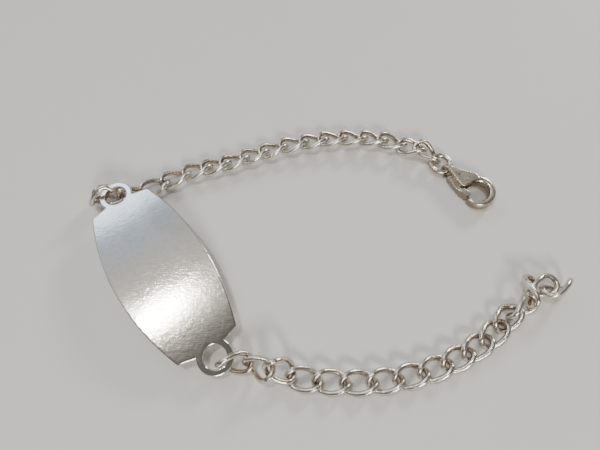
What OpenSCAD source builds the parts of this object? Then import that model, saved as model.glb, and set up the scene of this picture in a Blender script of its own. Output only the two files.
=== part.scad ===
// Silver id bracelet, unclasped and lying open on a flat surface.
// A curved bare plate carries a curb chain at each end. One chain ends in a
// jump ring with a lobster clasp, the other in the link that the clasp takes.
// The origin is on the surface, straight below the middle of the plate.

/* [Plate] */
// Length of the plate between the corners of its two ends
plate_len = 27.4; // [22:0.2:34]
// Width of the plate at its middle
plate_w = 14.6; // [12:0.2:17]
// Width of the plate at its ends
plate_end_w = 9.9; // [8:0.1:11]
// How far each end rises from its corners to the neck of its eye
plate_shoulder = 0.7; // [0.3:0.1:1]
// Thickness of the plate
plate_t = 1.0; // [0.8:0.05:1.2]
// Radius that the plate is bent to, along its length
plate_bend_r = 90; // [60:5:160]
// Outer diameter of the eye at each end of the plate
eye_d = 5.4; // [5:0.1:6]
// Diameter of the hole in each eye
eye_hole_d = 3.4; // [3.2:0.1:3.8]
// Distance from the line of an end's corners to the middle of its eye
eye_reach = 1.95; // [1.7:0.05:2.3]

/* [Chain] */
// Length of a link over its ends
link_len = 5.8; // [5.4:0.1:6.4]
// Width of a link over its sides
link_w = 3.9; // [3.6:0.1:4.2]
// Thickness of the wire that the links are bent from
wire_d = 0.8; // [0.6:0.05:0.85]
// Turn of a link's wire from one end of the link to the other
link_twist = 90; // [80:2:100]
// How much fuller than an ellipse the ends of a link are
link_fullness = 0.25; // [0.15:0.05:0.35]
// Free play between two links in a taut chain
link_play = 0.1; // [0.1:0.02:0.3]

/* [Jump ring] */
// Outer diameter of the jump ring
ring_d = 4.3; // [4:0.1:5]
// Thickness of the jump ring's wire
ring_wire_d = 0.9; // [0.7:0.05:0.95]

/* [Clasp] */
// Thickness of the clasp where it lies on its side
clasp_t = 2.5; // [2.3:0.1:3]
// Length of the hook's bend, along the clasp, between wire middles
hook_len = 4.5; // [4.2:0.1:5]
// Width of the hook's bend, across the clasp, between wire middles
hook_w = 4.7; // [4.5:0.1:5.4]
// Width of the hook's metal at its bend
hook_metal = 1.35; // [1.1:0.05:1.5]
// Width of the hook's metal at its tip
hook_tip = 0.8; // [0.6:0.05:0.9]
// Distance from the clasp's eye to the middle of the hook's bend
hook_reach = 6.35; // [6.2:0.05:7]
// Diameter of the hole in the clasp's eye
clasp_eye_hole_d = 1.4; // [1.3:0.05:1.5]
// Width of the metal round the hole in the clasp's eye
clasp_eye_metal = 0.5; // [0.4:0.05:0.55]
// Thickness of the clasp's eye
clasp_eye_t = 0.85; // [0.7:0.05:1]
// Width of the slot that the lever swings in
slot_w = 1.35; // [1.2:0.05:1.5]
// Free play of the lever on each side of the slot
lever_play = 0.1; // [0.05:0.01:0.15]
// Diameter of the pin that the lever turns on
pin_d = 0.6; // [0.5:0.05:0.7]
// Free play round the pin in the lever
pin_play = 0.06; // [0.04:0.01:0.1]

/* [Hidden] */
clasp_links = 18;
tail_links = 17;
rings_per_link = 16;
wire_sides = 6;
round_fn = 48;

function two_digits(n) = str(n < 10 ? "0" : "", n);
function clasp_link_name(n) = str("clasp_link_", two_digits(n));
function tail_link_name(n) = str("tail_link_", two_digits(n));

silver = [0.78, 0.77, 0.76];
warm_silver = [0.74, 0.69, 0.64];
pale_silver = [0.86, 0.84, 0.82];

// The lay of the chains. Both start at an eye of the plate. A row holds the
// link it is for, and links between two rows take values between theirs.
// course: direction of the step to this link, seen from above
// slack:  share of the taut pitch by which that step is shorter
// swing:  turn of the link away from the chain's course
// roll:   turn of the link about its own length
// tip:    dip of the end that points along the course
// lift:   height of the link's lowest point above the surface
COURSE = 1;
SLACK = 2;
SWING = 3;
ROLL = 4;
TIP = 5;
LIFT = 6;
tail_route = [
    [1, -16, 0.22, 20, 50, 5, 0.1],
    [2, -12, 0.12, -15, 40, -30, 0],
    [3, -3, 0.225, -5, 20, 40, 0.6],
    [4, -20, 0.16, 5, 6, 5, 0],
    [5, -6, 0.02, 0, 0, 0, 0],
    [7, 4, 0.06, 0, 0, 0, 0],
    [10, 22, 0.09, 0, 0, 0, 0],
    [12, 35, 0.17, 0, 0, 0, 0],
    [13, 43, 0.16, 0, 0, 0, 0],
    [14, 32, 0.40, -10, 60, -5, 0.1],
    [15, 56, 0.33, 40, 65, 10, 0.9],
    [16, 27, 0.38, 5, 45, 0, 0],
    [17, -10, 0.47, 30, -70, 10, 0.1],
];
clasp_route = [
    [1, 170, 0.26, 90, 70, 35, 0.6],
    [2, 29, 0.75, -10, 5, 25, 0],
    [3, 6, 0.12, 0, -10, -5, 0],
    [4, 24, 0.06, 0, -5, -5, 0],
    [5, 26, 0.06, 0, -18, 0, 0],
    [6, 23, 0.04, 0, -27, 0, 0],
    [7, 16, 0.20, 0, -27, 0, 0],
    [8, 16, 0.18, 0, -27, 0, 0],
    [9, 21, 0.10, 0, -27, 0, 0],
    [10, 19, 0.15, 0, -27, 0, 0],
    [11, 17, 0.06, 0, -27, 0, 0],
    [12, 10, 0.11, 0, -27, 0, 0],
    [13, 8, 0.17, 0, -27, 0, 0],
    [14, 2, 0.12, 0, -27, 0, 0],
    [15, -3, 0.10, 0, -27, 0, 0],
    [16, -11, 0.18, 5, -18, 5, 0],
    [17, -18, 0.12, 0, -12, -14, 0.08],
    [18, -23, 0.28, -21, -20, 5, 0],
];

// The lay of the plate: its direction from the clasp's chain to the tail's,
// the dip of its tail end, and the height of its underside's end corners
plate_course = -54.7;
plate_tip = 2;
plate_lift = 2.5;

function along(angle, len = 1) = [len * cos(angle), len * sin(angle), 0];
function turned(p, tip, course) =
    let (x = p[0] * cos(tip) + p[2] * sin(tip), z = p[2] * cos(tip) - p[0] * sin(tip))
    [x * cos(course) - p[1] * sin(course), x * sin(course) + p[1] * cos(course), z];

link_half = (link_len - wire_d) / 2;
link_side = (link_w - wire_d) / 2;
pitch = link_len - 2 * wire_d - link_play;

// A point of a link's wire, at the middle of the wire. The loop is an oval
// that is twisted about its length, so that the next link fits square to it.
function link_point(angle) =
    let (
        c = cos(angle),
        aside = link_side * sin(angle) * (1 + link_fullness * c * c),
        turn = -link_twist / 2 * c
    )
    [link_half * c, aside * cos(turn), aside * sin(turn)];

function route_value(route, n, column) = lookup(n, [for (row = route) [row[0], row[column]]]);
function course(route, n) = route_value(route, n, COURSE);
function yaw(route, n) =
    (course(route, n) + course(route, n + 1)) / 2 + route_value(route, n, SWING);

// Height of a link's middle when its lowest wire is at the route's lift
function link_height(route, n) =
    let (
        roll = route_value(route, n, ROLL),
        tip = route_value(route, n, TIP),
        heights = [
            for (k = [0:rings_per_link - 1])
            let (p = link_point(k * 360 / rings_per_link))
            cos(tip) * (p[1] * sin(roll) + p[2] * cos(roll)) - p[0] * sin(tip)
        ]
    )
    route_value(route, n, LIFT) + wire_d / 2 - min(heights);

function link_place(route, start, n) =
    n == 1
        ? start
        : link_place(route, start, n - 1)
            + along(course(route, n), pitch * (1 - route_value(route, n, SLACK)));

// The neck of each eye of the plate, as a share of the eye's width
neck_share = 0.9;
plate_rise = plate_bend_r - sqrt(pow(plate_bend_r, 2) - pow(plate_len / 2, 2));
function plate_eye(end) =
    turned([end * (plate_len / 2 + eye_reach), 0, 0], plate_tip, plate_course);
first_step = eye_hole_d / 2 - wire_d / 2 + link_half;
function chain_start(route, end) =
    let (p = plate_eye(end))
    [p[0], p[1], 0] + along(course(route, 1), first_step - pitch * route_value(route, 1, SLACK));
tail_start = chain_start(tail_route, 1);
clasp_start = chain_start(clasp_route, -1);

// The lay of the jump ring and the clasp: direction of the step from the last
// link to the ring, the share by which it is shorter than a taut one, the
// height of the ring's middle, and the clasp's direction from the ring
ring_course = -46;
ring_slack = 0.1;
ring_height = 1.38;
clasp_course = -47;
ring_mid_r = (ring_d - ring_wire_d) / 2;
last_link = link_place(clasp_route, clasp_start, clasp_links);
ring_reach = (link_half - wire_d / 2 + ring_d / 2 - ring_wire_d) * (1 - ring_slack);
ring_place = last_link + along(ring_course, ring_reach) + [0, 0, ring_height];

clasp_eye_r = clasp_eye_hole_d / 2 + clasp_eye_metal;
clasp_place = ring_place + along(clasp_course, ring_mid_r) - [0, 0, ring_height - clasp_t / 2];

// In the clasp's own plan, x as a share of hook_reach and y of half hook_w:
// how far the middle of the hook's bend stands aside, and where the pin is
bend_aside = 0.06;
pin_at = [0.31, -0.02];
hook_middle = [hook_reach, bend_aside * hook_w / 2];
pivot = [pin_at[0] * hook_reach, pin_at[1] * hook_w / 2];
// Radius of the lever's boss round the pin, as a share of hook_metal, and
// height of its gate, as a share of clasp_t
boss_share = 0.41;
gate_share = 0.72;
boss_r = boss_share * hook_metal;
lever_t = slot_w - 2 * lever_play;
gate_t = gate_share * clasp_t;
// Play round the pin in the body that it is pressed into
pin_fit = 0.03;

// Discs that the clasp's shapes are drawn round, in the clasp's own plan:
// x as a share of hook_reach, y of half hook_w, radius of hook_metal
hub_discs = [[0.12, -0.02, 0.37], [0.575, -0.30, 0.45], [0.63, 0.64, 0.59]];
lever_discs = [[0.26, -0.43, 0.37], [0.48, -0.68, 0.37], [0.69, -0.74, 0.28]];
gate_discs = [[0.70, -0.74, 0.33], [0.85, -0.66, 0.30]];
tab_disc = [0.19, -0.55, 0.22];

// The hook's bend: angle about its middle, then width as a share of
// hook_metal and height as a share of clasp_t
hook_sections = [
    [188, 0.65, 1.00], [165, 0.95, 1.00], [140, 1.15, 1.00], [90, 1.03, 0.98],
    [40, 1.00, 0.94], [0, 1.00, 0.92], [-40, 0.88, 0.84], [-75, 0.70, 0.74],
    [-95, hook_tip / hook_metal, 0.66]
];
hook_steps = 28;
section_sides = 16;
// How square the hook's section is: 1 is an ellipse, less is squarer
section_power = 0.7;
// The blunt end of the hook's tip: its length as a share of hook_metal, and
// its width and height as shares of the tip's own
blunt_len = 0.12;
blunt_w = 0.6;
blunt_h = 0.8;
// Where the lever's slot ends, as a share of hook_reach
slot_end = 0.78;

module swept_loop(points, radius, sides) {
    count = len(points);
    vertices = [
        for (k = [0:count - 1])
        let (
            ahead = points[(k + 1) % count] - points[(k + count - 1) % count],
            dir = ahead / norm(ahead),
            out = points[k] - dir * (points[k] * dir),
            u = out / norm(out),
            v = cross(dir, u)
        )
        for (s = [0:sides - 1])
        points[k] + radius * (cos(s * 360 / sides) * u + sin(s * 360 / sides) * v)
    ];
    faces = [
        for (k = [0:count - 1])
        for (s = [0:sides - 1])
        let (
            next_k = (k + 1) % count,
            next_s = (s + 1) % sides
        )
        each [
            [k * sides + s, next_k * sides + s, k * sides + next_s],
            [k * sides + next_s, next_k * sides + s, next_k * sides + next_s]
        ]
    ];
    polyhedron(vertices, faces);
}

module link_wire() {
    swept_loop(
        [for (k = [0:rings_per_link - 1]) link_point(k * 360 / rings_per_link)],
        wire_d / 2, wire_sides
    );
}

module placed_link(route, start, n) {
    translate(link_place(route, start, n) + [0, 0, link_height(route, n)])
        rotate([route_value(route, n, ROLL), route_value(route, n, TIP), yaw(route, n)])
            link_wire();
}

module clasp_link(n) {
    color(warm_silver) placed_link(clasp_route, clasp_start, n);
}

module tail_link(n) {
    color(n % 2 == 0 ? silver : warm_silver) placed_link(tail_route, tail_start, n);
}

// The plate's outline: two long sides that are arcs, two shouldered ends and
// the round of each eye
module plate_outline() {
    bulge = (plate_w - plate_end_w) / 2;
    side_r = (pow(plate_len / 2, 2) + pow(bulge, 2)) / (2 * bulge);
    neck_w = neck_share * eye_d;
    intersection() {
        translate([0, plate_w / 2 - side_r]) circle(r = side_r, $fn = 360);
        translate([0, side_r - plate_w / 2]) circle(r = side_r, $fn = 360);
        polygon([
            for (end = [1, -1])
            each [
                [end * plate_len / 2, -end * plate_end_w / 2],
                [end * (plate_len / 2 + plate_shoulder), -end * neck_w / 2],
                [end * (plate_len / 2 + plate_shoulder), end * neck_w / 2],
                [end * plate_len / 2, end * plate_end_w / 2],
                [end * (plate_len / 2 - plate_shoulder), end * plate_w]
            ]
        ]);
    }
    for (end = [-1, 1])
        translate([end * (plate_len / 2 + eye_reach), 0]) circle(d = eye_d, $fn = round_fn);
}

module id_plate() {
    tall = 4 * (plate_t + plate_rise);
    color(pale_silver)
    translate([0, 0, plate_lift])
        rotate([0, plate_tip, plate_course])
            difference() {
                intersection() {
                    translate([0, 0, -tall / 2]) linear_extrude(tall) plate_outline();
                    translate([0, 0, plate_rise - plate_bend_r])
                        rotate([90, 0, 0])
                            difference() {
                                cylinder(
                                    r = plate_bend_r + plate_t, h = 2 * plate_w, center = true, $fn = 720
                                );
                                cylinder(r = plate_bend_r, h = 3 * plate_w, center = true, $fn = 720);
                            }
                }
                for (end = [-1, 1])
                    translate([end * (plate_len / 2 + eye_reach), 0, -tall / 2])
                        cylinder(d = eye_hole_d, h = tall, $fn = round_fn);
            }
}

module jump_ring() {
    color(warm_silver)
    translate(ring_place)
        rotate_extrude($fn = round_fn)
            translate([ring_mid_r, 0]) circle(d = ring_wire_d, $fn = 24);
}

function disc_middle(d) = [d[0] * hook_reach, d[1] * hook_w / 2];

// A straight bar with round ends, seen from above
module bar(a, ra, b, rb) {
    ahead = atan2(b[1] - a[1], b[0] - a[0]);
    spread = acos((ra - rb) / norm(b - a));
    translate(a) circle(r = ra, $fn = round_fn);
    translate(b) circle(r = rb, $fn = round_fn);
    polygon([
        a + ra * [cos(ahead - spread), sin(ahead - spread)],
        b + rb * [cos(ahead - spread), sin(ahead - spread)],
        b + rb * [cos(ahead + spread), sin(ahead + spread)],
        a + ra * [cos(ahead + spread), sin(ahead + spread)]
    ]);
}

module disc_bar(c, d) {
    bar(disc_middle(c), c[2] * hook_metal, disc_middle(d), d[2] * hook_metal);
}

module hub_outline() {
    for (k = [0:2]) disc_bar(hub_discs[k], hub_discs[(k + 1) % 3]);
    polygon([for (d = hub_discs) disc_middle(d)]);
}

module slab(tall) {
    translate([0, 0, -tall / 2]) linear_extrude(tall) children();
}

module hook_bend() {
    first = hook_sections[0][0];
    last = hook_sections[len(hook_sections) - 1][0];
    table = [for (row = hook_sections) [-row[0], row[1], row[2]]];
    widths = [for (row = table) [row[0], row[1]]];
    heights = [for (row = table) [row[0], row[2]]];
    vertices = [
        for (k = [0:hook_steps])
        let (
            blunt = k == hook_steps,
            angle = first + (last - first) * min(k, hook_steps - 1) / (hook_steps - 1),
            w = hook_metal * lookup(-angle, widths) * (blunt ? blunt_w : 1),
            h = clasp_t * lookup(-angle, heights) * (blunt ? blunt_h : 1),
            mid = hook_middle + [hook_len / 2 * cos(angle), hook_w / 2 * sin(angle)],
            on = blunt ? hook_metal * blunt_len : 0,
            square = [cos(angle) * hook_w, sin(angle) * hook_len],
            across = square / norm(square),
            ahead = [across[1], -across[0]]
        )
        for (s = [0:section_sides - 1])
        let (
            a = (s + 0.5) * 360 / section_sides,
            side = sign(cos(a)) * pow(abs(cos(a)), section_power) * w / 2,
            up = sign(sin(a)) * pow(abs(sin(a)), section_power) * h / 2
        )
        [mid[0] + side * across[0] + on * ahead[0], mid[1] + side * across[1] + on * ahead[1], up]
    ];
    faces = concat(
        [[for (s = [0:section_sides - 1]) s]],
        [[for (s = [section_sides - 1:-1:0]) hook_steps * section_sides + s]],
        [
            for (k = [0:hook_steps - 1])
            for (s = [0:section_sides - 1])
            let (t = (s + 1) % section_sides)
            each [
                [k * section_sides + s, (k + 1) * section_sides + s, k * section_sides + t],
                [k * section_sides + t, (k + 1) * section_sides + s, (k + 1) * section_sides + t]
            ]
        ]
    );
    polyhedron(vertices, faces);
}

module at_clasp() {
    translate(clasp_place) rotate(clasp_course) children();
}

module clasp_body() {
    slot_from = [pivot[0] - boss_r - 3 * lever_play, pivot[1] + boss_r + lever_play];
    color(pale_silver) at_clasp()
        difference() {
            union() {
                rotate([90, 0, 0])
                    cylinder(r = clasp_eye_r, h = clasp_eye_t, center = true, $fn = round_fn);
                slab(clasp_t) hub_outline();
                hook_bend();
            }
            rotate([90, 0, 0])
                cylinder(d = clasp_eye_hole_d, h = hook_w, center = true, $fn = round_fn);
            translate([slot_from[0], slot_from[1] - hook_w, -slot_w / 2])
                cube([slot_end * hook_reach - slot_from[0], hook_w, slot_w]);
            translate([pivot[0], pivot[1], -clasp_t])
                cylinder(d = pin_d + 2 * pin_fit, h = 2 * clasp_t, $fn = round_fn);
        }
}

module clasp_pin() {
    color(silver) at_clasp()
        translate([pivot[0], pivot[1], -clasp_t / 2]) cylinder(d = pin_d, h = clasp_t, $fn = round_fn);
}

module clasp_lever() {
    boss = [pivot[0] / hook_reach, pivot[1] / hook_w * 2, boss_r / hook_metal];
    color(warm_silver) at_clasp()
        difference() {
            union() {
                slab(lever_t) {
                    disc_bar(boss, lever_discs[0]);
                    disc_bar(boss, lever_discs[1]);
                    disc_bar(lever_discs[0], lever_discs[1]);
                    disc_bar(lever_discs[0], tab_disc);
                    disc_bar(lever_discs[1], lever_discs[2]);
                }
                slab(gate_t) disc_bar(gate_discs[0], gate_discs[1]);
            }
            translate([pivot[0], pivot[1], -clasp_t])
                cylinder(d = pin_d + 2 * pin_play, h = 2 * clasp_t, $fn = round_fn);
        }
}

id_plate();
for (n = [1:clasp_links]) clasp_link(n);
jump_ring();
clasp_body();
clasp_pin();
clasp_lever();
for (n = [1:tail_links]) tail_link(n);
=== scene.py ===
import math
import random

import bmesh
import bpy
from bpy.props import (
    FloatProperty,
    FloatVectorProperty,
    IntProperty,
    PointerProperty,
)
from bpy.types import Operator, Panel, PropertyGroup
from mathutils import Euler, Matrix, Vector


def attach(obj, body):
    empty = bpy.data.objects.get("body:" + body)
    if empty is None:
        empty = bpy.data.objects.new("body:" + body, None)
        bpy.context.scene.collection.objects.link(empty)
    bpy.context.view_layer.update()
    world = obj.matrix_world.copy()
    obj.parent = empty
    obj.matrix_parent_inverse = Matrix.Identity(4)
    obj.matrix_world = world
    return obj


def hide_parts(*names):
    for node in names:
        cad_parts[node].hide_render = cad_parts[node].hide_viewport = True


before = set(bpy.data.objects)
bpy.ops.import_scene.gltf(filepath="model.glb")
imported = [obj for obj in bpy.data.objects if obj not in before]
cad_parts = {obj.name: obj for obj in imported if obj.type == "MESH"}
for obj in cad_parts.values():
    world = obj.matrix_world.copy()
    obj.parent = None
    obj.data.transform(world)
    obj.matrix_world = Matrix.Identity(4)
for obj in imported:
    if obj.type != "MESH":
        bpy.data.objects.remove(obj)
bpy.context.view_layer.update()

bl_info = {
    "name": "Silver id bracelet",
    "version": (1, 0, 0),
    "blender": (4, 5, 0),
    "location": "View3D > Sidebar > Bracelet",
    "description": "Dresses the open id bracelet: plate, curb chains, ring and clasp in worn silver",
    "category": "Object",
}

MM = 0.001

# The lay of the chains, a row for a link, as the solids have it. Links between
# two rows take values between theirs. Angles are in degrees, the lift of the
# lowest wire is in millimetres, and slack is a share of the taut pitch.
ROUTE_COLUMNS = ("link", "course", "slack", "swing", "roll", "tip", "lift")
TAIL_ROUTE = (
    (1, -16, 0.22, 20, 50, 5, 0.1),
    (2, -12, 0.12, -15, 40, -30, 0),
    (3, -3, 0.225, -5, 20, 40, 0.6),
    (4, -20, 0.16, 5, 6, 5, 0),
    (5, -6, 0.02, 0, 0, 0, 0),
    (7, 4, 0.06, 0, 0, 0, 0),
    (10, 22, 0.09, 0, 0, 0, 0),
    (12, 35, 0.17, 0, 0, 0, 0),
    (13, 43, 0.16, 0, 0, 0, 0),
    (14, 32, 0.40, -10, 60, -5, 0.1),
    (15, 56, 0.33, 40, 65, 10, 0.9),
    (16, 27, 0.38, 5, 45, 0, 0),
    (17, -10, 0.47, 30, -70, 10, 0.1),
)
CLASP_ROUTE = (
    (1, 170, 0.26, 90, 70, 35, 0.6),
    (2, 29, 0.75, -10, 5, 25, 0),
    (3, 6, 0.12, 0, -10, -5, 0),
    (4, 24, 0.06, 0, -5, -5, 0),
    (5, 26, 0.06, 0, -18, 0, 0),
    (6, 23, 0.04, 0, -27, 0, 0),
    (7, 16, 0.20, 0, -27, 0, 0),
    (8, 16, 0.18, 0, -27, 0, 0),
    (9, 21, 0.10, 0, -27, 0, 0),
    (10, 19, 0.15, 0, -27, 0, 0),
    (11, 17, 0.06, 0, -27, 0, 0),
    (12, 10, 0.11, 0, -27, 0, 0),
    (13, 8, 0.17, 0, -27, 0, 0),
    (14, 2, 0.12, 0, -27, 0, 0),
    (15, -3, 0.10, 0, -27, 0, 0),
    (16, -11, 0.18, 5, -18, 5, 0),
    (17, -18, 0.12, 0, -12, -14, 0.08),
    (18, -23, 0.28, -21, -20, 5, 0),
)
CLASP_LINKS, TAIL_LINKS = 18, 17

# Sizes of the solids that the pieces here have to meet, in millimetres
LINK_LEN, LINK_W, WIRE_D, LINK_TWIST, LINK_FULLNESS, LINK_PLAY = 5.8, 3.9, 0.8, 90, 0.25, 0.1
SOLID_RINGS = 16
PLATE_LEN, PLATE_W, PLATE_END_W, PLATE_SHOULDER = 27.4, 14.6, 9.9, 0.7
PLATE_T, PLATE_BEND_R = 1.0, 90.0
EYE_D, EYE_HOLE_D, EYE_REACH, NECK_SHARE = 5.4, 3.4, 1.95, 0.9
PLATE_COURSE, PLATE_TIP, PLATE_LIFT = -54.7, 2.0, 2.5
RING_D, RING_WIRE_D, RING_HEIGHT, RING_COURSE, RING_SLACK = 4.3, 0.9, 1.38, -46, 0.1
CLASP_T, HOOK_LEN, HOOK_W, HOOK_METAL, HOOK_TIP, HOOK_REACH = 2.5, 4.5, 4.7, 1.35, 0.8, 6.35
CLASP_EYE_HOLE_D, CLASP_EYE_METAL, CLASP_EYE_T = 1.4, 0.5, 0.85
SLOT_W, LEVER_PLAY, PIN_D, PIN_PLAY = 1.35, 0.1, 0.6, 0.06
CLASP_COURSE = -47

# The clasp's plan. A disc is x, y and radius, as shares of HOOK_REACH, half
# HOOK_W and HOOK_METAL. A bar or hub is drawn round its discs.
HUB_DISCS = ((0.12, -0.02, 0.37), (0.575, -0.30, 0.45), (0.63, 0.64, 0.59))
LEVER_DISCS = ((0.26, -0.43, 0.37), (0.48, -0.68, 0.37), (0.69, -0.74, 0.28))
GATE_DISCS = ((0.70, -0.74, 0.33), (0.85, -0.66, 0.30))
TAB_DISC = (0.19, -0.55, 0.22)

# The hook from its root to its tip: angle round its middle in degrees, and
# width and height as shares of HOOK_METAL and CLASP_T
HOOK_SECTIONS = (
    (188, 0.65, 1.00), (165, 0.95, 1.00), (140, 1.15, 1.00), (90, 1.03, 0.98),
    (40, 1.00, 0.94), (0, 1.00, 0.92), (-40, 0.88, 0.84), (-75, 0.70, 0.74),
    (-95, HOOK_TIP / HOOK_METAL, 0.66),
)

# How square the hook's section is (1 is round), its blunt tip as shares of
# HOOK_METAL and of the last section, and the places of middle, pin and slot as
# shares of HOOK_REACH and half HOOK_W
SECTION_POWER = 0.7
BLUNT_LEN, BLUNT_W, BLUNT_H = 0.12, 0.6, 0.8
BEND_ASIDE, PIN_AT, SLOT_END = 0.06, (0.31, -0.02), 0.78

# The boss's radius as a share of HOOK_METAL, the gate's thickness of CLASP_T
BOSS_SHARE, GATE_SHARE = 0.41, 0.72

# Fineness of the meshes: millimetres between cuts, points and castings' faces,
# and steps round an outline
PLATE_STRIP, SAME_POINT, LEVER_GRAIN = 0.45, 1e-4, 0.05
DISC_STEPS, HOLE_STEPS, EYE_STEPS, ARC_STEPS, BORE_STEPS = 64, 56, 44, 80, 48

# The place that the photo was taken from and the point that it looks at, in
# millimetres, and the lens
CAMERA_AT = (21.27, -21.80, 69.43)
AIM_AT = (21.27, 9.11, 0)
LENS, SENSOR = 27.06, 36.0

# Lamps: name, place and size in metres, power in watts, colour. The key lamp's
# power is among the sizes and colours that a user would change.
LAMPS = (
    ("key", (-0.064, 0.012, 0.36), 0.024, None, (1.0, 0.95, 0.87)),
    ("window", (-0.31, 0.37, 0.32), 0.28, 0.50, (0.62, 0.78, 1.0)),
    ("back_right", (0.32, 0.34, 0.20), 0.10, 1.00, (1.0, 0.94, 0.87)),
    ("front", (0.10, -0.34, 0.24), 0.12, 1.00, (1.0, 0.93, 0.86)),
)
FLOOR_REACH = 1.5

LINK_HALF = (LINK_LEN - WIRE_D) / 2
LINK_SIDE = (LINK_W - WIRE_D) / 2
PITCH = LINK_LEN - 2 * WIRE_D - LINK_PLAY
PLATE_RISE = PLATE_BEND_R - math.sqrt(PLATE_BEND_R ** 2 - (PLATE_LEN / 2) ** 2)
RING_MID_R = (RING_D - RING_WIRE_D) / 2
HOOK_MIDDLE = (HOOK_REACH, BEND_ASIDE * HOOK_W / 2)
PIVOT = (PIN_AT[0] * HOOK_REACH, PIN_AT[1] * HOOK_W / 2)
BOSS_R = BOSS_SHARE * HOOK_METAL


# Where the pieces lie

def between(rows, key, column):
    """The value of a column at key, on straight lines between the rows."""
    rows = sorted(rows, key=lambda row: row[0])
    if key <= rows[0][0]:
        return rows[0][column]
    for low, high in zip(rows, rows[1:]):
        if key <= high[0]:
            share = (key - low[0]) / (high[0] - low[0])
            return low[column] + (high[column] - low[column]) * share
    return rows[-1][column]


def lay(route, link, name):
    """The value of a named column for a link of a route."""
    return between(route, link, ROUTE_COLUMNS.index(name))


def along(angle, length=1.0):
    angle = math.radians(angle)
    return Vector((length * math.cos(angle), length * math.sin(angle), 0))


def turn(roll=0.0, tip=0.0, course=0.0):
    """A turn by degrees about X, then Y, then Z."""
    return Euler([math.radians(a) for a in (roll, tip, course)], "XYZ").to_matrix()


def link_point(angle):
    """A point of the middle of a link's wire, in millimetres."""
    c, s = math.cos(angle), math.sin(angle)
    aside = LINK_SIDE * s * (1 + LINK_FULLNESS * c * c)
    twist = -math.radians(LINK_TWIST) / 2 * c
    return Vector((LINK_HALF * c, aside * math.cos(twist), aside * math.sin(twist)))


def plate_turn():
    return turn(0, PLATE_TIP, PLATE_COURSE)


def chain_places(route, end, count):
    """(middle, turn about X, Y and Z in degrees) of each link, in millimetres."""
    eye = plate_turn() @ Vector((end * (PLATE_LEN / 2 + EYE_REACH), 0, 0))
    first = EYE_HOLE_D / 2 - WIRE_D / 2 + LINK_HALF
    place = Vector((eye.x, eye.y, 0))
    place += along(lay(route, 1, "course"), first - PITCH * lay(route, 1, "slack"))
    loop = [link_point(k * math.tau / SOLID_RINGS) for k in range(SOLID_RINGS)]
    places = []
    for link in range(1, count + 1):
        if link > 1:
            place = place + along(lay(route, link, "course"), PITCH * (1 - lay(route, link, "slack")))
        roll, tip = lay(route, link, "roll"), lay(route, link, "tip")
        lowest = min((turn(roll, tip) @ p).z for p in loop)
        height = lay(route, link, "lift") + WIRE_D / 2 - lowest
        yaw = (lay(route, link, "course") + lay(route, link + 1, "course")) / 2
        yaw += lay(route, link, "swing")
        places.append((place + Vector((0, 0, height)), (roll, tip, yaw)))
    return places


def ring_middle():
    """The jump ring's middle, a step on from the last link, in millimetres."""
    last, _ = chain_places(CLASP_ROUTE, -1, CLASP_LINKS)[-1]
    reach = (LINK_HALF - WIRE_D / 2 + RING_D / 2 - RING_WIRE_D) * (1 - RING_SLACK)
    return Vector((last.x, last.y, 0)) + along(RING_COURSE, reach) + Vector((0, 0, RING_HEIGHT))


def clasp_matrix():
    """From the clasp's own plan, in millimetres, to the row frame, in metres."""
    middle = ring_middle() + along(CLASP_COURSE, RING_MID_R)
    middle.z = CLASP_T / 2
    return Matrix.Scale(MM, 4) @ Matrix.Translation(middle) @ turn(0, 0, CLASP_COURSE).to_4x4()


# Making meshes

def add_object(name, mesh):
    piece = bpy.data.objects.new(name, mesh)
    bpy.context.scene.collection.objects.link(piece)
    return piece


def mesh_object(name, vertices, faces):
    mesh = bpy.data.meshes.new(name)
    mesh.from_pydata([tuple(v) for v in vertices], [], faces)
    mesh.update()
    return add_object(name, mesh)


def baked(piece):
    """The piece with its modifiers made real, as a plain mesh of the same name."""
    evaluated = piece.evaluated_get(bpy.context.evaluated_depsgraph_get())
    mesh = bpy.data.meshes.new_from_object(evaluated)
    name = piece.name
    bpy.data.objects.remove(piece)
    mesh.name = name
    return add_object(name, mesh)


def smooth(piece):
    for polygon in piece.data.polygons:
        polygon.use_smooth = True


def outwards(piece):
    """Turns every face's normal away from the metal."""
    shape = bmesh.new()
    shape.from_mesh(piece.data)
    bmesh.ops.recalc_face_normals(shape, faces=shape.faces)
    shape.to_mesh(piece.data)
    shape.free()


def move(piece, matrix):
    piece.data.transform(matrix)
    piece.data.update()


def mark_sides(piece):
    """Store how far the surface is turned to the side: 0 on top, 1 where it is upright. The clasp's
    silver paints shade by it.
    """
    piece.data.attributes.new("side", "FLOAT", "POINT")
    steep = [1 - abs(vertex.normal.z) for vertex in piece.data.vertices]
    piece.data.attributes["side"].data.foreach_set("value", steep)


def tube_faces(rings, sides, closed):
    """Faces round a tube of rings of points, with caps unless it closes on itself."""
    faces = []
    for k in range(rings if closed else rings - 1):
        n = (k + 1) % rings
        for s in range(sides):
            t = (s + 1) % sides
            faces.append((k * sides + s, k * sides + t, n * sides + t, n * sides + s))
    if not closed:
        faces.append(tuple(reversed(range(sides))))
        faces.append(tuple((rings - 1) * sides + s for s in range(sides)))
    return faces


def disc_outline(x, y, radius, steps=DISC_STEPS):
    return [
        (x + radius * math.cos(k * math.tau / steps), y + radius * math.sin(k * math.tau / steps))
        for k in range(steps)
    ]


def hull_outline(points):
    """The convex outline round points of a plan, run anticlockwise."""
    points = sorted(set((round(x, 6), round(y, 6)) for x, y in points))
    sides = []
    for run in (points, points[::-1]):
        side = []
        for p in run:
            while len(side) > 1 and (
                (side[-1][0] - side[-2][0]) * (p[1] - side[-2][1])
                - (side[-1][1] - side[-2][1]) * (p[0] - side[-2][0])
            ) <= 0:
                side.pop()
            side.append(p)
        sides += side[:-1]
    return sides


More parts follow.
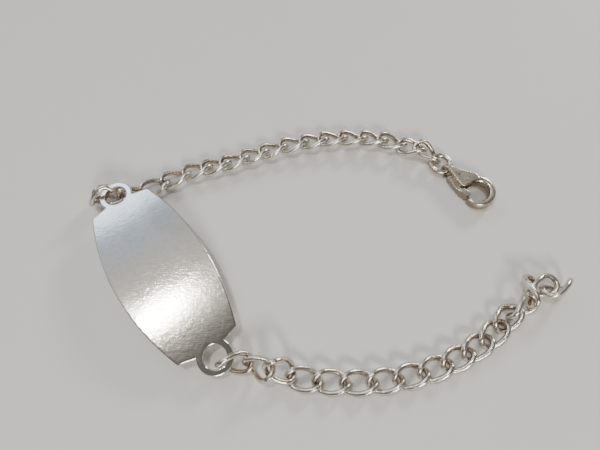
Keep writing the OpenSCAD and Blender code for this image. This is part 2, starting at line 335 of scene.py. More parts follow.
def prism(name, outline, low, high):
    """An upright block with the outline's plan, from low to high."""
    count = len(outline)
    vertices = [(x, y, z) for z in (low, high) for x, y in outline]
    faces = [tuple(reversed(range(count))), tuple(range(count, 2 * count))]
    faces += [(k, (k + 1) % count, count + (k + 1) % count, count + k) for k in range(count)]
    return mesh_object(name, vertices, faces)


def join(name, parts):
    """All parts as one object. They may overlap."""
    shape = bmesh.new()
    for part in parts:
        shape.from_mesh(part.data)
        bpy.data.objects.remove(part)
    mesh = bpy.data.meshes.new(name)
    shape.to_mesh(mesh)
    shape.free()
    return add_object(name, mesh)


def cut(piece, cutter):
    tool = piece.modifiers.new("cut", "BOOLEAN")
    tool.operation = "DIFFERENCE"
    tool.solver = "EXACT"
    tool.use_self = True
    tool.object = cutter
    made = baked(piece)
    bpy.data.objects.remove(cutter)
    return made


def cast(piece, grain, passes):
    """Fuses the shells of a piece into one skin and softens its edges, as a casting's."""
    skin = piece.modifiers.new("skin", "REMESH")
    skin.mode = "VOXEL"
    skin.voxel_size = grain
    skin.use_smooth_shade = True
    soft = piece.modifiers.new("soft", "SMOOTH")
    soft.factor = 0.5
    soft.iterations = passes
    made = baked(piece)
    smooth(made)
    return made


def disc(shares):
    """A disc of the clasp's plan in millimetres, from its shares."""
    x, y, radius = shares
    return x * HOOK_REACH, y * HOOK_W / 2, radius * HOOK_METAL


def bar_outline(a, b):
    return hull_outline(disc_outline(*a) + disc_outline(*b))


# Materials

class Nodes:
    """Short ways to add and link a material's nodes."""

    def __init__(self, name):
        self.material = bpy.data.materials.new(name)
        self.material.use_nodes = True
        self.tree = self.material.node_tree
        self.tree.nodes.clear()
        self.place = self.add("ShaderNodeTexCoord").outputs["Object"]

    def add(self, kind, **settings):
        node = self.tree.nodes.new(kind)
        for key, value in settings.items():
            setattr(node, key, value)
        return node

    def feed(self, socket, value):
        if isinstance(value, bpy.types.NodeSocket):
            self.tree.links.new(value, socket)
        else:
            socket.default_value = value

    def sum(self, operation, a, b=0.0, clamp=False):
        node = self.add("ShaderNodeMath", operation=operation, use_clamp=clamp)
        self.feed(node.inputs[0], a)
        self.feed(node.inputs[1], b)
        return node.outputs[0]

    def noise(self, scale, detail=3.0, roughness=0.55, place=None):
        node = self.add("ShaderNodeTexNoise")
        self.feed(node.inputs["Vector"], place or self.place)
        node.inputs["Scale"].default_value = scale
        node.inputs["Detail"].default_value = detail
        node.inputs["Roughness"].default_value = roughness
        return node.outputs["Fac"]

    def ramp(self, value, low, high, start=0.0, end=1.0):
        """From start to end while the value goes from low to high, and level beyond."""
        node = self.add("ShaderNodeMapRange")
        self.feed(node.inputs["Value"], value)
        for name, number in (("From Min", low), ("From Max", high), ("To Min", start), ("To Max", end)):
            node.inputs[name].default_value = number
        return node.outputs[0]

    def mix(self, share, a, b):
        node = self.add("ShaderNodeMix", data_type="RGBA")
        self.feed(node.inputs[0], share)
        self.feed(node.inputs[6], a)
        self.feed(node.inputs[7], b)
        return node.outputs[2]

    def hairlines(self, angle, fine, long):
        """Fine straight scratches that run at an angle, in the plan of the surface."""
        node = self.add("ShaderNodeMapping")
        self.feed(node.inputs["Vector"], self.place)
        node.inputs["Rotation"].default_value = (0, 0, math.radians(angle))
        through = fine * 0.3
        node.inputs["Scale"].default_value = (long, fine, through)
        return self.noise(1.0, detail=2.0, place=node.outputs[0])

    def attribute(self, name):
        return self.add("ShaderNodeAttribute", attribute_name=name).outputs["Fac"]

    def turned_away(self, start, end, most):
        """0 where the surface faces the eye, up to most where it turns away: a mask for painted shade."""
        weight = self.add("ShaderNodeLayerWeight")
        weight.inputs["Blend"].default_value = 0.5
        return self.ramp(weight.outputs["Facing"], start, end, 0.0, most)

    def finish(self, colour, roughness, height, bump, metallic=1.0):
        surface = self.add("ShaderNodeBsdfPrincipled")
        surface.inputs["Metallic"].default_value = metallic
        self.feed(surface.inputs["Base Color"], colour)
        self.feed(surface.inputs["Roughness"], roughness)
        relief = self.add("ShaderNodeBump")
        relief.inputs["Strength"].default_value = 1.0
        relief.inputs["Distance"].default_value = bump
        self.feed(relief.inputs["Height"], height)
        self.feed(surface.inputs["Normal"], relief.outputs[0])
        out = self.add("ShaderNodeOutputMaterial")
        self.feed(out.inputs[0], surface.outputs[0])
        return self.material


def opaque(colour):
    return (*colour, 1.0)


def plate_silver(look):
    """Satin silver with crossed hairlines and a few deeper nicks."""
    n = Nodes("worn_plate")
    lines = [n.hairlines(angle, fine=6500, long=700) for angle in (35, 52, 98, -20)]
    deep = n.hairlines(70, fine=3500, long=90)
    mottle = n.noise(scale=1500, detail=4, roughness=0.65)
    clouds = n.noise(scale=180, detail=4)
    patches = n.noise(scale=60, detail=2)
    hair = n.sum("ADD", n.sum("ADD", lines[0], lines[1]), n.sum("ADD", lines[2], lines[3]))
    hair = n.ramp(hair, 1.5, 2.5)
    nicks = n.ramp(deep, 0.70, 0.78)
    tone = n.mix(n.ramp(patches, 0.45, 0.8), opaque(look.bright), opaque(look.soft))
    tone = n.mix(n.ramp(mottle, 0.45, 0.65, 0.0, 0.30), tone, opaque(look.soft))
    tone = n.mix(n.ramp(clouds, 0.55, 0.85, 0.0, 0.30), tone, opaque(look.tarnish))
    roughness = n.sum("ADD", n.ramp(hair, 0, 1, 0.09, 0.16), n.ramp(clouds, 0.3, 0.8, 0.0, 0.05))
    nicks = n.sum("MULTIPLY", nicks, 0.25)
    height = n.sum("SUBTRACT", n.sum("MULTIPLY", hair, 0.4), nicks)
    height = n.sum("ADD", height, n.sum("MULTIPLY", mottle, 2.0))
    return n.finish(tone, roughness, height, bump=0.000009)


def chain_silver(look):
    """Handled silver wire, brighter outside, with warm tarnish and painted shade where links rub, and
    painted shade on the sides turned from the eye.
    """
    n = Nodes("worn_chain")
    inner = n.attribute("inner")
    end = n.attribute("end")
    tint = n.attribute("tint")
    clouds = n.noise(scale=900, detail=3)
    grime = n.noise(scale=2600, detail=4)
    # Tarnish and painted shade in the hollows: the inside of each loop and its ends, where the links meet
    hollow_tarnish_and_shade = n.sum("ADD", n.sum("MULTIPLY", inner, 0.9), n.ramp(end, 0.55, 1.0, 0.0, 0.25))
    hollow_tarnish_and_shade = n.sum("ADD", hollow_tarnish_and_shade, n.ramp(clouds, 0.4, 0.75, -0.10, 0.35), clamp=True)
    tone = n.mix(n.ramp(tint, 0, 1, 0.15, 0.95), opaque(look.bright), opaque(look.warm))
    tone = n.mix(hollow_tarnish_and_shade, tone, opaque(look.tarnish))
    # Dark grime and painted shade where the hollows are deepest, broken up by noise
    dark = n.sum("MULTIPLY", n.ramp(grime, 0.52, 0.72), hollow_tarnish_and_shade, clamp=True)
    tone = n.mix(n.sum("MULTIPLY", dark, 0.8), tone, opaque(look.hollow_tarnish_and_shade))
    # Painted shade on the sides of the wire turned from the eye
    tone = n.mix(n.turned_away(0.35, 0.85, 0.75), tone, opaque(look.shade))
    scuffs = n.noise(scale=5200, detail=5, roughness=0.7)
    roughness = n.sum("ADD", n.ramp(scuffs, 0.3, 0.8, 0.11, 0.25), n.sum("MULTIPLY", hollow_tarnish_and_shade, 0.16))
    return n.finish(tone, roughness, n.sum("ADD", scuffs, clouds), bump=0.00003)


def clasp_silver(look):
    """Cast silver, polished by handling, with warm tarnish at random and painted shade on its upright
    sides.
    """
    n = Nodes("worn_clasp")
    clouds = n.noise(scale=420, detail=4)
    scuffs = n.noise(scale=4200, detail=5, roughness=0.7)
    lines = n.hairlines(20, fine=5200, long=240)
    tone = n.mix(n.ramp(clouds, 0.40, 0.65, 0.05, 0.40), opaque(look.warm), opaque(look.tarnish))
    # Painted shade on the upright sides, broken up by the clouds
    side = n.sum("ADD", n.attribute("side"), n.ramp(clouds, 0.3, 0.7, -0.25, 0.20))
    tone = n.mix(n.ramp(side, 0.35, 0.95, 0.0, 0.85), tone, opaque(look.shade))
    roughness = n.sum("ADD", n.ramp(scuffs, 0.3, 0.8, 0.16, 0.30), n.ramp(lines, 0.4, 0.7, 0.0, 0.08))
    return n.finish(tone, roughness, n.sum("ADD", scuffs, lines), bump=0.000009)


def clasp_metal(look):
    """The clasp's silver, made only once."""
    return bpy.data.materials.get("worn_clasp") or clasp_silver(look)


def floor_paint(look):
    """A plain pale floor with the least grain."""
    n = Nodes("floor_paint")
    grain = n.noise(scale=120, detail=3)
    tone = n.mix(grain, opaque([c * 0.98 for c in look.floor]), opaque(look.floor))
    return n.finish(tone, n.ramp(grain, 0, 1, 0.62, 0.7), grain, bump=0.00002, metallic=0.0)


def finish_with(piece, material):
    piece.data.materials.clear()
    piece.data.materials.append(material)


# Sizes and colours that a user would change

class BraceletSizes(PropertyGroup):
    loop_steps: IntProperty(
        name="Loop steps", description="Rings of faces round each link's loop", default=64, min=16, max=96
    )
    wire_steps: IntProperty(
        name="Wire steps", description="Faces round a link's wire", default=14, min=6, max=20
    )
    wire_dents: FloatProperty(
        name="Wire dents", description="How far wear has moved the wire's surface",
        default=0.000018, min=0.0, max=0.00004, unit="LENGTH", precision=6,
    )
    plate_edge: FloatProperty(
        name="Plate edge", description="Radius that the plate's edges are worn to",
        default=0.00022, min=0.00005, max=0.0004, unit="LENGTH", precision=6,
    )
    cast_grain: FloatProperty(
        name="Cast grain", description="Size of the faces that the clasp's body is skinned with",
        default=0.00006, min=0.00004, max=0.0001, unit="LENGTH", precision=6,
    )
    seed: IntProperty(name="Seed", description="Choice of the links' tints and dents", default=7)


class SilverLook(PropertyGroup):
    bright: FloatVectorProperty(
        name="Bright silver", description="Where the metal is rubbed clean",
        default=(0.86, 0.83, 0.78), size=3, min=0, max=1, subtype="COLOR",
    )
    soft: FloatVectorProperty(
        name="Soft silver", description="Where the metal has dulled a little",
        default=(0.66, 0.62, 0.56), size=3, min=0, max=1, subtype="COLOR",
    )
    warm: FloatVectorProperty(
        name="Warm silver", description="The clasp and some links, that have yellowed a little",
        default=(0.90, 0.84, 0.72), size=3, min=0, max=1, subtype="COLOR",
    )
    tarnish: FloatVectorProperty(
        name="Tarnish", description="Warm tarnish in the hollows",
        default=(0.40, 0.31, 0.235), size=3, min=0, max=1, subtype="COLOR",
    )
    # Dark grime and painted shade, laid deepest in the links' hollows
    hollow_tarnish_and_shade: FloatVectorProperty(
        name="Recess", description="Dark grime where links rub",
        default=(0.09, 0.065, 0.05), size=3, min=0, max=1, subtype="COLOR",
    )
    # Painted shade, laid on the wires' sides turned from the eye and on the clasp's upright sides
    shade: FloatVectorProperty(
        name="Shade", description="Dull skin on the sides, that wear doesn't reach",
        default=(0.20, 0.15, 0.115), size=3, min=0, max=1, subtype="COLOR",
    )


class StudioLook(PropertyGroup):
    floor: FloatVectorProperty(
        name="Floor", description="Colour of the plain floor",
        default=(0.84, 0.835, 0.825), size=3, min=0, max=1, subtype="COLOR",
    )
    sky: FloatVectorProperty(
        name="Room", description="Colour of the lit side of the room",
        default=(0.62, 0.605, 0.58), size=3, min=0, max=1, subtype="COLOR",
    )
    window: FloatVectorProperty(
        name="Window", description="Colour of the sky in the window",
        default=(0.50, 0.60, 0.76), size=3, min=0, max=1, subtype="COLOR",
    )
    walls: FloatProperty(
        name="Walls", description="How bright the far walls are beside the lit side",
        default=0.28, min=0.0, max=1.0,
    )
    lit_side: FloatVectorProperty(
        name="Lit side", description="Direction from the bracelet to the window",
        default=(-0.40, 0.48, 0.78), size=3, subtype="DIRECTION",
    )
    ceiling: FloatProperty(
        name="Ceiling", description="How bright the ceiling is beside the lit side",
        default=0.20, min=0.0, max=1.0,
    )
    key_power: FloatProperty(
        name="Key light", description="Power of the light over the plate",
        default=0.32, min=0.0, unit="POWER",
    )


# Geometry Nodes: a chain of links on its points

def chain_tree(material):
    tree = bpy.data.node_groups.new("curb_chain", "GeometryNodeTree")
    inputs = {}
    for name, kind, value in (
        ("Points", "NodeSocketGeometry", None),
        ("Link length", "NodeSocketFloat", LINK_LEN * MM),
        ("Link width", "NodeSocketFloat", LINK_W * MM),
        ("Wire thickness", "NodeSocketFloat", WIRE_D * MM),
        ("Twist", "NodeSocketFloat", math.radians(LINK_TWIST)),
        ("Fullness", "NodeSocketFloat", LINK_FULLNESS),
        ("Dents", "NodeSocketFloat", 0.0),
        ("Loop steps", "NodeSocketInt", 64),
        ("Wire steps", "NodeSocketInt", 14),
        ("Seed", "NodeSocketInt", 0),
    ):
        socket = tree.interface.new_socket(name=name, in_out="INPUT", socket_type=kind)
        if value is not None:
            socket.default_value = value
        inputs[name] = socket.identifier
    tree.interface.new_socket(name="Chain", in_out="OUTPUT", socket_type="NodeSocketGeometry")
    given = tree.nodes.new("NodeGroupInput").outputs
    links = tree.links

    def node(kind, sockets=(), **settings):
        made = tree.nodes.new(kind)
        for key, value in settings.items():
            setattr(made, key, value)
        for key, value in dict(sockets).items():
            if isinstance(value, bpy.types.NodeSocket):
                links.new(value, made.inputs[key])
            else:
                made.inputs[key].default_value = value
        return made

    def sum_of(operation, a, b=0.0):
        return node("ShaderNodeMath", {0: a, 1: b}, operation=operation).outputs[0]

    def times(a, b):
        return sum_of("MULTIPLY", a, b)

    thick = given["Wire thickness"]
    half = times(sum_of("SUBTRACT", given["Link length"], thick), 0.5)
    side = times(sum_of("SUBTRACT", given["Link width"], thick), 0.5)
    circle = node(
        "GeometryNodeCurvePrimitiveCircle", {"Resolution": given["Loop steps"], "Radius": 1.0}
    )
    spot = node("ShaderNodeSeparateXYZ", {0: node("GeometryNodeInputPosition").outputs[0]})
    c, s = spot.outputs["X"], spot.outputs["Y"]
    full = sum_of("ADD", times(times(c, c), given["Fullness"]), 1.0)
    aside = times(times(side, s), full)
    bend = times(times(given["Twist"], -0.5), c)
    middle = node("ShaderNodeCombineXYZ", {
        "X": times(half, c),
        "Y": times(aside, sum_of("COSINE", bend)),
        "Z": times(aside, sum_of("SINE", bend)),
    })
    # How near a point lies to its loop's ends, where links meet: the chain's material lays tarnish and
    # painted shade there
    ends = node("GeometryNodeStoreNamedAttribute", {
        "Geometry": circle.outputs["Curve"], "Name": "end", "Value": sum_of("ABSOLUTE", c),
    }, data_type="FLOAT", domain="POINT")
    loop = node("GeometryNodeSetPosition", {
        "Geometry": ends.outputs["Geometry"], "Position": middle.outputs[0],
    })
    section = node("GeometryNodeCurvePrimitiveCircle", {
        "Resolution": given["Wire steps"], "Radius": times(thick, 0.5),
    })
    wire = node("GeometryNodeCurveToMesh", {
        "Curve": loop.outputs["Geometry"], "Profile Curve": section.outputs["Curve"],
    })
    # How far the wire faces the middle of its loop: the chain's material lays tarnish and painted shade
    # by it
    inwards = node("ShaderNodeVectorMath", {
        0: node("GeometryNodeInputPosition").outputs[0],
    }, operation="NORMALIZE")
    facing = node("ShaderNodeVectorMath", {
        0: inwards.outputs[0], 1: node("GeometryNodeInputNormal").outputs[0],
    }, operation="DOT_PRODUCT")
    inner = node("GeometryNodeStoreNamedAttribute", {
        "Geometry": wire.outputs[0], "Name": "inner",
        "Value": sum_of("MAXIMUM", times(facing.outputs["Value"], -1.0), 0.0),
    }, data_type="FLOAT", domain="POINT")
    lies = node("GeometryNodeInputNamedAttribute", {"Name": "lie"}, data_type="FLOAT_VECTOR")
    turned = node("FunctionNodeEulerToRotation", {0: lies.outputs["Attribute"]})
    laid = node("GeometryNodeInstanceOnPoints", {
        "Points": given["Points"], "Instance": inner.outputs["Geometry"],
        "Rotation": turned.outputs[0],
    })
    real = node("GeometryNodeRealizeInstances", {"Geometry": laid.outputs["Instances"]})
    seed_shift = node("ShaderNodeCombineXYZ", {"X": given["Seed"], "Y": given["Seed"], "Z": 0.0})
    where = node("ShaderNodeVectorMath", {
        0: node("GeometryNodeInputPosition").outputs[0], 1: seed_shift.outputs[0],
    }, operation="ADD")
    knocks = node("ShaderNodeTexNoise", {"Vector": where.outputs[0], "Scale": 620.0, "Detail": 2.0})
    push = times(sum_of("SUBTRACT", knocks.outputs["Fac"], 0.5), times(given["Dents"], 2.0))
    out = node("ShaderNodeVectorMath", {
        0: node("GeometryNodeInputNormal").outputs[0], "Scale": push,
    }, operation="SCALE")
    worn = node("GeometryNodeSetPosition", {"Geometry": real.outputs[0], "Offset": out.outputs[0]})
    shaded = node("GeometryNodeSetShadeSmooth", {"Geometry": worn.outputs[0]})
    dressed = node("GeometryNodeSetMaterial", {"Geometry": shaded.outputs[0], "Material": material})
    links.new(dressed.outputs[0], tree.nodes.new("NodeGroupOutput").inputs[0])
    return tree, inputs


def lay_chain(name, route, end, count, tree, inputs, sizes, chance):
    """One chain: a point for each link, with its turn and tint, dressed by the node tree."""
    places = chain_places(route, end, count)
    mesh = bpy.data.meshes.new(name)
    mesh.from_pydata([tuple(p * MM) for p, _ in places], [], [])
    mesh.attributes.new("lie", "FLOAT_VECTOR", "POINT")
    mesh.attributes.new("tint", "FLOAT", "POINT")
    for k, (_, angles) in enumerate(places):
        mesh.attributes["lie"].data[k].vector = [math.radians(a) for a in angles]
        mesh.attributes["tint"].data[k].value = chance.random()
    chain = add_object(name, mesh)
    maker = chain.modifiers.new("curb_chain", "NODES")
    maker.node_group = tree
    maker[inputs["Dents"]] = sizes.wire_dents
    maker[inputs["Loop steps"]] = sizes.loop_steps
    maker[inputs["Wire steps"]] = sizes.wire_steps
    maker[inputs["Seed"]] = sizes.seed
    return baked(chain)


# The plate

def plate_side_arc(steps=ARC_STEPS):
    """One long side of the plate's outline, from the end at +x to the end at -x."""
    bulge = (PLATE_W - PLATE_END_W) / 2
    side_r = ((PLATE_LEN / 2) ** 2 + bulge ** 2) / (2 * bulge)
    points = []
    for k in range(steps + 1):
        x = PLATE_LEN / 2 - PLATE_LEN * k / steps
        points.append((x, PLATE_W / 2 - side_r + math.sqrt(side_r ** 2 - x * x)))
    return points


def plate_end_outline():
    """From the lower corner of the end at +x round the eye to the upper corner."""
    corner = (PLATE_LEN / 2, PLATE_END_W / 2)
    neck_x, neck_y = PLATE_LEN / 2 + PLATE_SHOULDER, NECK_SHARE * EYE_D / 2
    eye_x, eye_r = PLATE_LEN / 2 + EYE_REACH, EYE_D / 2
    meet_y = eye_r * math.sqrt(max(0.0, 1 - ((neck_x - eye_x) / eye_r) ** 2))
    if meet_y < neck_y:
        meets = (neck_x, meet_y)
    else:
        slope = (neck_y - corner[1]) / (neck_x - corner[0])
        low, high = corner[0], neck_x
        halvings = 40
        for _ in range(halvings):
            x = (low + high) / 2
            y = corner[1] + slope * (x - corner[0])
            inside = (x - eye_x) ** 2 + y ** 2 < eye_r ** 2
            low, high = (low, x) if inside else (x, high)
        meets = (low, corner[1] + slope * (low - corner[0]))
    start = math.atan2(meets[1], meets[0] - eye_x)
    upper = [corner]
    if meet_y < neck_y:
        upper.append((neck_x, neck_y))
    arc = [
        (eye_x + eye_r * math.cos(a), eye_r * math.sin(a))
        for a in (start - 2 * start * k / EYE_STEPS for k in range(EYE_STEPS + 1))
    ]
    path = upper + arc + [(x, -y) for x, y in reversed(upper)]
    return [(x, y) for x, y in reversed(path)]


def plate_outline():
    end = plate_end_outline()
    side = plate_side_arc()[1:-1]
    far = [(-x, -y) for x, y in end]
    return end + side + far + [(-x, -y) for x, y in side]


def plate_mesh(edge):
    """A flat plate with worn edges, cut across often enough to bend smoothly."""
    curve = bpy.data.curves.new("plate_outline", "CURVE")
    curve.dimensions = "2D"
    curve.fill_mode = "BOTH"
    curve.extrude = PLATE_T / 2 - edge
    curve.bevel_depth = edge
    curve.bevel_resolution = 4
    curve.offset = -edge
    holes = [
        disc_outline(end * (PLATE_LEN / 2 + EYE_REACH), 0, EYE_HOLE_D / 2, HOLE_STEPS)
        for end in (1, -1)
    ]
    for outline in (plate_outline(), *holes):
        spline = curve.splines.new("POLY")
        spline.points.add(len(outline) - 1)
        for point, (x, y) in zip(spline.points, outline):
            point.co = (x, y, 0, 1)
        spline.use_cyclic_u = True
    flat = bpy.data.objects.new("plate_outline", curve)
    bpy.context.scene.collection.objects.link(flat)
    piece = baked(flat)
    shape = bmesh.new()
    shape.from_mesh(piece.data)
    bmesh.ops.remove_doubles(shape, verts=shape.verts, dist=SAME_POINT)
    past_eyes = 4.5
    x = -PLATE_LEN / 2 - past_eyes
    while x < PLATE_LEN / 2 + past_eyes:
        bmesh.ops.bisect_plane(
            shape, geom=shape.verts[:] + shape.edges[:] + shape.faces[:],
            plane_co=(x, 0, 0), plane_no=(1, 0, 0), dist=SAME_POINT,
        )
        x += PLATE_STRIP
    bmesh.ops.triangulate(shape, faces=[f for f in shape.faces if len(f.verts) > 4])
    shape.to_mesh(piece.data)
    shape.free()
    return piece


def bend_plate(piece):
    """Bends the flat plate to its radius and lays it where the solid lies."""
    for vertex in piece.data.vertices:
        x, y, z = vertex.co
        height = z + PLATE_T / 2
        bent = math.sqrt((PLATE_BEND_R + height) ** 2 - x * x) + PLATE_RISE - PLATE_BEND_R
        vertex.co = (x, y, bent)
    move(piece, Matrix.Scale(MM, 4) @ Matrix.Translation((0, 0, PLATE_LIFT)) @ plate_turn().to_4x4())


# The clasp

def hook_mesh(steps=120, sides=32):
    """The hook as a tube through its sections, closed with a blunt tip."""
    first, last = HOOK_SECTIONS[0][0], HOOK_SECTIONS[-1][0]
    vertices = []
    for k in range(steps + 1):
        blunt = k == steps
        angle = first + (last - first) * min(k, steps - 1) / (steps - 1)
        width = HOOK_METAL * between(HOOK_SECTIONS, angle, 1) * (BLUNT_W if blunt else 1)
        height = CLASP_T * between(HOOK_SECTIONS, angle, 2) * (BLUNT_H if blunt else 1)
        c, s = math.cos(math.radians(angle)), math.sin(math.radians(angle))
        across = Vector((c * HOOK_W, s * HOOK_LEN)).normalized()
        on = HOOK_METAL * BLUNT_LEN if blunt else 0
        x = HOOK_MIDDLE[0] + HOOK_LEN / 2 * c + on * across.y
        y = HOOK_MIDDLE[1] + HOOK_W / 2 * s - on * across.x
        for j in range(sides):
            a = (j + 0.5) * math.tau / sides
            side = math.copysign(abs(math.cos(a)) ** SECTION_POWER, math.cos(a)) * width / 2
            up = math.copysign(abs(math.sin(a)) ** SECTION_POWER, math.sin(a)) * height / 2
            vertices.append((x + side * across.x, y + side * across.y, up))
    hook = mesh_object("hook", vertices, tube_faces(steps + 1, sides, closed=False))
    outwards(hook)
    return hook


def cylinder(name, x, y, radius, low, high):
    return prism(name, disc_outline(x, y, radius, BORE_STEPS), low, high)


def eye_drum(radius, length):
    """A drum that lies across the clasp at its eye, for the eye's rim or its hole."""
    drum = cylinder("eye", 0, 0, radius, -length / 2, length / 2)
    move(drum, turn(90).to_4x4())
    outwards(drum)
    return drum


def clasp_body_mesh(sizes):
    hub = []
    for shares in HUB_DISCS:
        hub += disc_outline(*disc(shares))
    eye_r = CLASP_EYE_HOLE_D / 2 + CLASP_EYE_METAL
    body = join("clasp_body_skin", [
        prism("hub", hull_outline(hub), -CLASP_T / 2, CLASP_T / 2),
        hook_mesh(),
        eye_drum(eye_r, CLASP_EYE_T),
    ])
    slot_x, slot_y = PIVOT[0] - BOSS_R - 3 * LEVER_PLAY, PIVOT[1] + BOSS_R + LEVER_PLAY
    slot_end = SLOT_END * HOOK_REACH
    slot = prism("slot", [
        (slot_x, slot_y - HOOK_W), (slot_end, slot_y - HOOK_W), (slot_end, slot_y), (slot_x, slot_y),
    ], -SLOT_W / 2, SLOT_W / 2)
    body = cast(body, sizes.cast_grain / MM, passes=0)
    for cutter in (slot, eye_drum(CLASP_EYE_HOLE_D / 2, HOOK_W)):
        body = cut(body, cutter)
    return cast(body, sizes.cast_grain / MM, passes=6)


def clasp_lever_mesh():
    lever_t = SLOT_W - 2 * LEVER_PLAY
    gate_t = GATE_SHARE * CLASP_T
    boss = (*PIVOT, BOSS_R)
    first, second, third = (disc(shares) for shares in LEVER_DISCS)
    bars = [(boss, first), (boss, second), (first, second), (first, disc(TAB_DISC)), (second, third)]
    parts = [prism("lever_bar", bar_outline(a, b), -lever_t / 2, lever_t / 2) for a, b in bars]
    gate = bar_outline(*(disc(shares) for shares in GATE_DISCS))
    parts.append(prism("gate", gate, -gate_t / 2, gate_t / 2))
    lever = cast(join("lever_skin", parts), LEVER_GRAIN, passes=0)
    bore = cylinder("bore", *PIVOT, PIN_D / 2 + PIN_PLAY, -CLASP_T, CLASP_T)
    lever = cut(lever, bore)
    return cast(lever, LEVER_GRAIN, passes=4)


# Operators

class BRACELET_OT_chains(Operator):
    """Lay both curb chains, with their links hooked through each other"""
    bl_idname = "bracelet.chains"
    bl_label = "Curb chains"

    def execute(self, context):
        scene = context.scene
        tree, inputs = chain_tree(chain_silver(scene.bracelet_silver))
        chance = random.Random(scene.bracelet_sizes.seed)
        for name, route, end, count in (
            ("clasp_chain", CLASP_ROUTE, -1, CLASP_LINKS),
            ("tail_chain", TAIL_ROUTE, 1, TAIL_LINKS),
        ):
            chain = lay_chain(name, route, end, count, tree, inputs, scene.bracelet_sizes, chance)
            stem = name.replace("chain", "link")
            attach(chain, "bracelet")
            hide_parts(*[f"{stem}_{k:02d}" for k in range(1, count + 1)])
        return {"FINISHED"}


class BRACELET_OT_plate(Operator):
    """Make the bent plate with its two eyes, its edges worn round"""
    bl_idname = "bracelet.plate"
    bl_label = "Id plate"

    def execute(self, context):
        plate = plate_mesh(context.scene.bracelet_sizes.plate_edge / MM)
        bend_plate(plate)
        plate.name = "plate"
        smooth(plate)
        outwards(plate)
        finish_with(plate, plate_silver(context.scene.bracelet_silver))
        even = plate.modifiers.new("even_shading", "WEIGHTED_NORMAL")
        even.weight = 80
        plate = baked(plate)
        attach(plate, "bracelet")
        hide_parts("id_plate")
        return {"FINISHED"}


class BRACELET_OT_jump_ring(Operator):
    """Make the round ring between the chain and the clasp"""
    bl_idname = "bracelet.jump_ring"
    bl_label = "Jump ring"

    def execute(self, context):
        rings, sides = 96, 20
        middle = ring_middle()
        vertices = []
        for k in range(rings):
            a = k * math.tau / rings
            for s in range(sides):
                b = s * math.tau / sides
                reach = RING_MID_R + RING_WIRE_D / 2 * math.cos(b)
                rise = RING_WIRE_D / 2 * math.sin(b)
                out = Vector((reach * math.cos(a), reach * math.sin(a), rise))
                vertices.append((middle + out) * MM)
        ring = mesh_object("ring", vertices, tube_faces(rings, sides, closed=True))
        outwards(ring)
        smooth(ring)
        mark_sides(ring)
        finish_with(ring, clasp_metal(context.scene.bracelet_silver))
        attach(ring, "bracelet")
        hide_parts("jump_ring")
        return {"FINISHED"}


class BRACELET_OT_clasp(Operator):
    """Make the lobster clasp's cast body and its lever, and give its pin the clasp's silver"""
    bl_idname = "bracelet.clasp"
    bl_label = "Lobster clasp"

    def execute(self, context):
        scene = context.scene
        metal = clasp_metal(scene.bracelet_silver)
        for name, shape, body, node in (
            ("clasp", clasp_body_mesh(scene.bracelet_sizes), "bracelet", "clasp_body"),
            ("lever", clasp_lever_mesh(), "lever", "clasp_lever"),
        ):
            shape.name = name
            move(shape, clasp_matrix())
            mark_sides(shape)
            finish_with(shape, metal)
            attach(shape, body)
            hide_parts(node)
        finish_with(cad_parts["clasp_pin"], metal)
        return {"FINISHED"}


def light_room(scene, look):
    """A plain room: brightest at its window, dimmer on its ceiling and far walls."""
    world = bpy.data.worlds.new("room")
    scene.world = world
    world.use_nodes = True
    tree = world.node_tree
    room = tree.nodes["Background"]
    direction = tree.nodes.new("ShaderNodeTexCoord")
    nearness = tree.nodes.new("ShaderNodeVectorMath")
    nearness.operation = "DOT_PRODUCT"
    nearness.inputs[1].default_value = Vector(look.lit_side).normalized()
    shade = tree.nodes.new("ShaderNodeValToRGB")
    tree.links.new(direction.outputs["Generated"], nearness.inputs[0])
    tree.links.new(nearness.outputs["Value"], shade.inputs[0])
    tree.links.new(shade.outputs[0], room.inputs[0])
    room.inputs[1].default_value = 1.0
    stops = shade.color_ramp.elements
    stops[0].position, stops[1].position = 0.05, 1.0
    stops[0].color = opaque([c * look.walls for c in look.sky])
    stops[1].color = opaque(look.window)
    for place, share in ((0.70, look.ceiling), (0.88, 1.0), (0.975, 1.0)):
        stops.new(place).color = opaque([c * share for c in look.sky])


def point_at(thing, aim):
    thing.rotation_euler = (aim - thing.location).to_track_quat("-Z", "Y").to_euler()


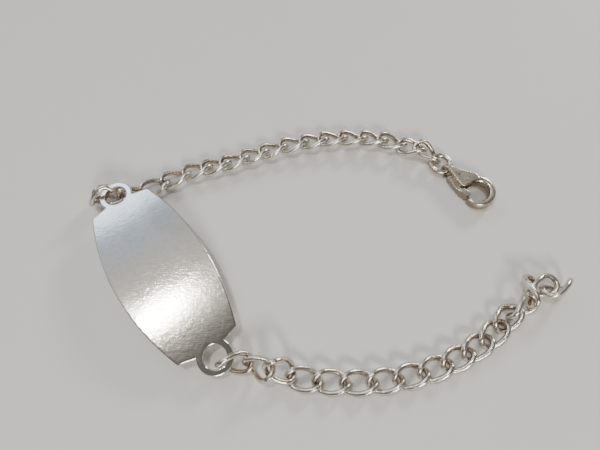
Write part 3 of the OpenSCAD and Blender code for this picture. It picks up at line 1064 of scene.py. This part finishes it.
class BRACELET_OT_stage(Operator):
    """Set the floor, the lights and the camera"""
    bl_idname = "bracelet.stage"
    bl_label = "Floor, lights and camera"

    def execute(self, context):
        scene = context.scene
        look = scene.bracelet_studio
        corners = [(-1, -1), (1, -1), (1, 1), (-1, 1)]
        spots = [(x * FLOOR_REACH, y * FLOOR_REACH, 0) for x, y in corners]
        floor = mesh_object("floor", spots, [(0, 1, 2, 3)])
        finish_with(floor, floor_paint(look))
        light_room(scene, look)

        aim = Vector(AIM_AT) * MM
        for name, place, size, power, colour in LAMPS:
            lamp = bpy.data.lights.new(name, "AREA")
            lamp.shape = "DISK"
            lamp.size = size
            lamp.energy = look.key_power if name == "key" else power
            lamp.color = colour
            light = bpy.data.objects.new(name, lamp)
            scene.collection.objects.link(light)
            light.location = place
            point_at(light, aim)

        lens = bpy.data.cameras.new("camera")
        lens.lens, lens.sensor_width = LENS, SENSOR
        lens.clip_start, lens.clip_end = 0.005, 10.0
        camera = bpy.data.objects.new("camera", lens)
        scene.collection.objects.link(camera)
        camera.location = Vector(CAMERA_AT) * MM
        point_at(camera, aim)
        scene.camera = camera
        return {"FINISHED"}


STEPS = (
    BRACELET_OT_plate, BRACELET_OT_chains, BRACELET_OT_jump_ring, BRACELET_OT_clasp, BRACELET_OT_stage,
)


class BRACELET_PT_steps(Panel):
    bl_idname = "BRACELET_PT_steps"
    bl_label = "Id bracelet"
    bl_space_type = "VIEW_3D"
    bl_region_type = "UI"
    bl_category = "Bracelet"

    def draw(self, context):
        for step in STEPS:
            self.layout.operator(step.bl_idname)
        for group in (
            context.scene.bracelet_sizes, context.scene.bracelet_silver, context.scene.bracelet_studio,
        ):
            for name in group.bl_rna.properties.keys():
                if name not in ("rna_type", "name"):
                    self.layout.prop(group, name)


CLASSES = (BraceletSizes, SilverLook, StudioLook, *STEPS, BRACELET_PT_steps)


def register():
    for kind in CLASSES:
        bpy.utils.register_class(kind)
    bpy.types.Scene.bracelet_sizes = PointerProperty(type=BraceletSizes)
    bpy.types.Scene.bracelet_silver = PointerProperty(type=SilverLook)
    bpy.types.Scene.bracelet_studio = PointerProperty(type=StudioLook)


def unregister():
    del bpy.types.Scene.bracelet_sizes
    del bpy.types.Scene.bracelet_silver
    del bpy.types.Scene.bracelet_studio
    for kind in reversed(CLASSES):
        bpy.utils.unregister_class(kind)


def main():
    register()
    bpy.ops.bracelet.stage()
    bpy.ops.bracelet.plate()
    bpy.ops.bracelet.chains()
    bpy.ops.bracelet.jump_ring()
    bpy.ops.bracelet.clasp()


if __name__ == "__main__":
    main()
